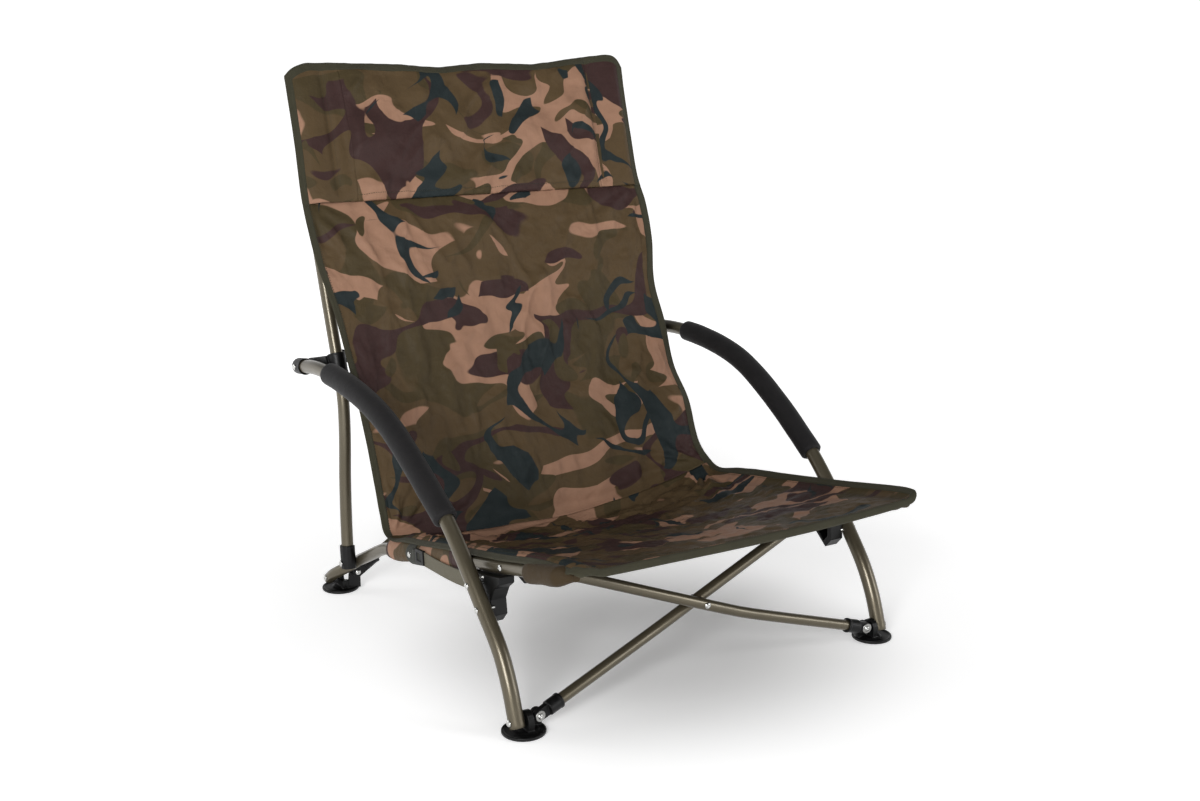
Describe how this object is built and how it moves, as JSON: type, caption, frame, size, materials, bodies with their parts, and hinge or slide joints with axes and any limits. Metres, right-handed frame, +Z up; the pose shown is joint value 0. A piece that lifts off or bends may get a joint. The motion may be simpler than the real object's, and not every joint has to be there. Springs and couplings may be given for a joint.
{
  "type": "folding carp fishing chair",
  "caption": "Low folding armchair: bent tube frame on disc feet, crossed tubes front and rear, foam armrests, fabric sling seat and back that fold flat together.",
  "frame": {"origin": "middle of the base, on the floor", "axes": "+X to the right as the chair is seen from the front, +Y towards its back, +Z up"},
  "size_m": [0.705, 0.8588, 0.8395],
  "materials": {
    "tube_paint": "metallic brown-olive stove enamel, satin",
    "black_plastic": "moulded black nylon, fine satin",
    "foam": "closed-cell black foam, matt",
    "rivet_steel": "bright plated rivet heads",
    "sling_fabric": null,
    "pouch_fabric": "plain brown-olive woven polyester",
    "webbing": "flat olive-grey webbing",
    "edge_binding": "olive woven edge tape"
  },
  "bodies": {
    "front_foot_l": {"front_foot_l": "black_plastic", "rivet_arm_front_l": "rivet_steel"},
    "arm_l": {"arm_tube_l": "tube_paint", "foam_grip_l": "foam", "arm_end_cap_l": "black_plastic", "support_bracket_l": "black_plastic", "rivet_arm_rear_l": "rivet_steel"},
    "collar_l": {"collar_l": "black_plastic"},
    "upright_l": {"upright_l": "tube_paint", "upright_sleeve_l": "black_plastic", "back_pocket_l": "sling_fabric", "rivet_hinge_l": "rivet_steel", "headrest_panel": "sling_fabric"},
    "rail_l": {"seat_rail_l": "tube_paint", "seat_sleeve_l": "sling_fabric", "corner_pouch_l": "pouch_fabric", "side_strap_l": "webbing", "strap_buckle_l": "black_plastic", "rivet_hub_l": "rivet_steel", "seat_panel": "sling_fabric"},
    "rear_foot_l": {"rear_foot_l": "black_plastic", "rivet_rail_foot_l": "rivet_steel"},
    "rear_cross_l": {"rear_cross_tube_l": "tube_paint", "rear_cross_low_socket_l": "black_plastic", "rear_cross_top_socket_l": "black_plastic", "rivet_rear_cross": "rivet_steel"},
    "front_cross_l": {"front_cross_tube_l": "tube_paint", "front_cross_low_socket_l": "black_plastic", "front_cross_top_socket_l": "black_plastic"},
    "front_hub_l": {"front_hub_l": "black_plastic"},
    "front_foot_r": {"front_foot_r": "black_plastic", "rivet_arm_front_r": "rivet_steel"},
    "arm_r": {"arm_tube_r": "tube_paint", "foam_grip_r": "foam", "arm_end_cap_r": "black_plastic", "support_bracket_r": "black_plastic", "rivet_arm_rear_r": "rivet_steel"},
    "collar_r": {"collar_r": "black_plastic"},
    "upright_r": {"upright_r": "tube_paint", "upright_sleeve_r": "black_plastic", "back_pocket_r": "sling_fabric", "rivet_hinge_r": "rivet_steel"},
    "rail_r": {"seat_rail_r": "tube_paint", "seat_sleeve_r": "sling_fabric", "corner_pouch_r": "pouch_fabric", "side_strap_r": "webbing", "strap_buckle_r": "black_plastic", "rivet_hub_r": "rivet_steel"},
    "rear_foot_r": {"rear_foot_r": "black_plastic", "rivet_rail_foot_r": "rivet_steel"},
    "rear_cross_r": {"rear_cross_tube_r": "tube_paint", "rear_cross_low_socket_r": "black_plastic", "rear_cross_top_socket_r": "black_plastic"},
    "front_cross_r": {"front_cross_tube_r": "tube_paint", "front_cross_low_socket_r": "black_plastic", "front_cross_top_socket_r": "black_plastic"},
    "front_hub_r": {"front_hub_r": "black_plastic"},
    "back_sling": {"back_panel": "sling_fabric"}
  },
  "joints": [
    {"name": "arm_fold_l", "type": "hinge", "parent": "front_foot_l", "child": "arm_l", "pos_m": [-0.314, -0.3246, 0.018], "axis": [1, 0, 0], "range_deg": [0, 38.1], "deforming": ["seat_panel", "back_panel", "headrest_panel", "side_strap_l", "side_strap_r"]},
    {"name": "collar_pivot_l", "type": "hinge", "parent": "arm_l", "child": "collar_l", "pos_m": [-0.335, 0.3364, 0.373], "axis": [1, 0, 0], "range_deg": [-24.58, 0]},
    {"name": "collar_slide_l", "type": "slide", "parent": "collar_l", "child": "upright_l", "axis": [0, -0.3227, -0.9465], "range_m": [0, 0.26192]},
    {"name": "rail_hinge_l", "type": "hinge", "parent": "upright_l", "child": "rail_l", "pos_m": [-0.3, 0.2394, 0.0655], "axis": [1, 0, 0], "range_deg": [-59.19, 0]},
    {"name": "rear_foot_pivot_l", "type": "hinge", "parent": "rail_l", "child": "rear_foot_l", "pos_m": [-0.313, 0.3084, 0.02], "axis": [1, 0, 0], "range_deg": [0, 45.67]},
    {"name": "rear_cross_low_l", "type": "hinge", "parent": "rear_foot_l", "child": "rear_cross_l", "pos_m": [-0.281, 0.2824, 0.034], "axis": [0, 1, 0], "range_deg": [-47.13, 0]},
    {"name": "rear_cross_scissor", "type": "hinge", "parent": "rear_cross_l", "child": "rear_cross_r", "pos_m": [0, 0.2824, 0.213], "axis": [0, 1, 0], "range_deg": [0, 94.26]},
    {"name": "rear_cross_low_r", "type": "hinge", "parent": "rear_cross_r", "child": "rear_foot_r", "pos_m": [0.281, 0.2824, 0.034], "axis": [0, 1, 0], "range_deg": [-47.13, 0]},
    {"name": "rear_foot_pivot_r", "type": "hinge", "parent": "rear_foot_r", "child": "rail_r", "pos_m": [0.313, 0.3084, 0.02], "axis": [1, 0, 0], "range_deg": [-45.67, 0]},
    {"name": "rail_hinge_r", "type": "hinge", "parent": "rail_r", "child": "upright_r", "pos_m": [0.3, 0.2394, 0.0655], "axis": [1, 0, 0], "range_deg": [0, 59.19]},
    {"name": "collar_slide_r", "type": "slide", "parent": "upright_r", "child": "collar_r", "axis": [0, 0.3227, 0.9465], "range_m": [0, 0.26192]},
    {"name": "collar_pivot_r", "type": "hinge", "parent": "collar_r", "child": "arm_r", "pos_m": [0.335, 0.3364, 0.373], "axis": [1, 0, 0], "range_deg": [0, 24.58]},
    {"name": "arm_fold_r", "type": "hinge", "parent": "arm_r", "child": "front_foot_r", "pos_m": [0.314, -0.3246, 0.018], "axis": [1, 0, 0], "range_deg": [-38.1, 0]},
    {"name": "front_cross_low_l", "type": "hinge", "parent": "front_foot_l", "child": "front_cross_l", "pos_m": [-0.283, -0.3296, 0.022], "axis": [0.1279, -0.9918, -0.0026], "range_deg": [0, 62.93]},
    {"name": "front_cross_low_r", "type": "hinge", "parent": "front_foot_r", "child": "front_cross_r", "pos_m": [0.283, -0.3296, 0.022], "axis": [0.1039, 0.9941, 0.0317], "range_deg": [0, 63.02]},
    {"name": "front_hub_turn_l", "type": "hinge", "parent": "rail_l", "child": "front_hub_l", "pos_m": [-0.29, -0.2596, 0.207], "axis": [1, 0, 0], "range_deg": [0, 45.67]},
    {"name": "front_hub_turn_r", "type": "hinge", "parent": "rail_r", "child": "front_hub_r", "pos_m": [0.29, -0.2596, 0.207], "axis": [1, 0, 0], "range_deg": [0, 45.67]},
    {"name": "back_swing", "type": "hinge", "parent": "upright_l", "child": "back_sling", "pos_m": [0, 0.3224, 0.645], "axis": [1, 0, 0], "range_deg": [0, 10.9]}
  ],
  "couplings": [
    {"joint": "collar_pivot_l", "follows": "arm_fold_l", "ratio": -0.64508},
    {"joint": "collar_slide_l", "follows": "arm_fold_l", "m_per_rad": 0.3939},
    {"joint": "rail_hinge_l", "follows": "arm_fold_l", "ratio": -1.5535},
    {"joint": "rear_foot_pivot_l", "follows": "arm_fold_l", "ratio": 1.1986},
    {"joint": "rear_cross_low_l", "follows": "arm_fold_l", "ratio": -1.237},
    {"joint": "rear_cross_scissor", "follows": "arm_fold_l", "ratio": 2.4741},
    {"joint": "rear_cross_low_r", "follows": "arm_fold_l", "ratio": -1.237},
    {"joint": "rear_foot_pivot_r", "follows": "arm_fold_l", "ratio": -1.1986},
    {"joint": "rail_hinge_r", "follows": "arm_fold_l", "ratio": 1.5535},
    {"joint": "collar_slide_r", "follows": "arm_fold_l", "m_per_rad": 0.3939},
    {"joint": "collar_pivot_r", "follows": "arm_fold_l", "ratio": 0.64508},
    {"joint": "arm_fold_r", "follows": "arm_fold_l", "ratio": -1},
    {"joint": "front_cross_low_l", "follows": "arm_fold_l", "ratio": 1.6517},
    {"joint": "front_cross_low_r", "follows": "arm_fold_l", "ratio": 1.6541},
    {"joint": "front_hub_turn_l", "follows": "arm_fold_l", "ratio": 1.1986},
    {"joint": "front_hub_turn_r", "follows": "arm_fold_l", "ratio": 1.1986},
    {"joint": "back_swing", "follows": "arm_fold_l", "ratio": 0.28611}
  ]
}
